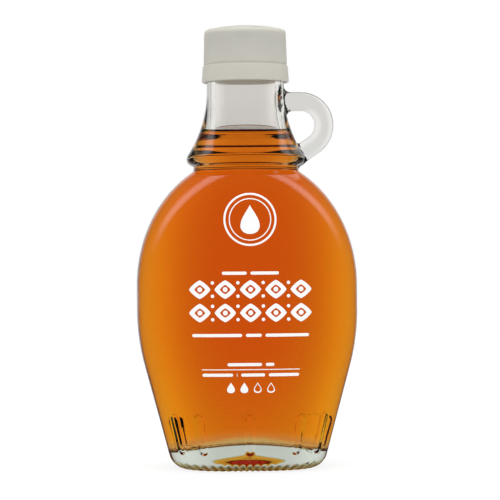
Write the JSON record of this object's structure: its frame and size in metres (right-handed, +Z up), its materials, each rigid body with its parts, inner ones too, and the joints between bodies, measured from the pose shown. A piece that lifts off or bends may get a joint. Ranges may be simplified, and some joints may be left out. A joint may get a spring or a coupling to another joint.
{
  "type": "maple syrup bottle",
  "caption": "Flat oval glass flask of amber syrup with a flared neck, a collar, a small ear handle and a white screw cap with tamper band.",
  "frame": {"origin": "middle of the footprint, on the surface that the bottle stands on", "axes": "+Z up along the bottle's axis, +X through the ear handle, -Y out of the broad front face"},
  "size_m": [0.08, 0.0536, 0.16],
  "materials": {
    "clear_glass": "clear, smooth",
    "amber_syrup": "clear amber liquid",
    "white_plastic": "satin moulded"
  },
  "bodies": {
    "root": {"glass_bottle": "clear_glass", "syrup": "amber_syrup", "cap": "white_plastic"}
  },
  "joints": []
}
